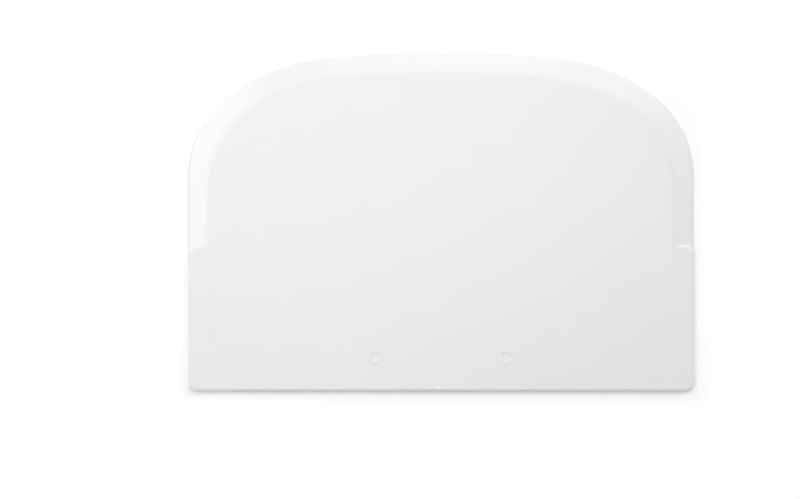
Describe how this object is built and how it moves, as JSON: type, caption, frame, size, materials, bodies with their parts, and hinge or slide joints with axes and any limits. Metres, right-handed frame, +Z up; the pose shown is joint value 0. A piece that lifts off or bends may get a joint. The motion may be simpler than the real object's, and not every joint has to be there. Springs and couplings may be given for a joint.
{
  "type": "dough scraper",
  "caption": "Flexible white plastic dough scraper: a thin D-shaped plate with a straight edge, and a rounded edge thinned to a bevel that stops in a step on each side.",
  "frame": {"origin": "on the surface that the scraper lies on, under the middle of its bounding box", "axes": "+X along the straight edge, +Y from the straight edge towards the crown of the rounded edge, +Z up from the flat underside to the bevelled face"},
  "size_m": [0.148, 0.0992, 0.0021],
  "materials": {
    "white_plastic": "fine satin moulded polypropylene, slightly translucent"
  },
  "bodies": {
    "root": {"scraper_plate": "white_plastic"}
  },
  "joints": []
}
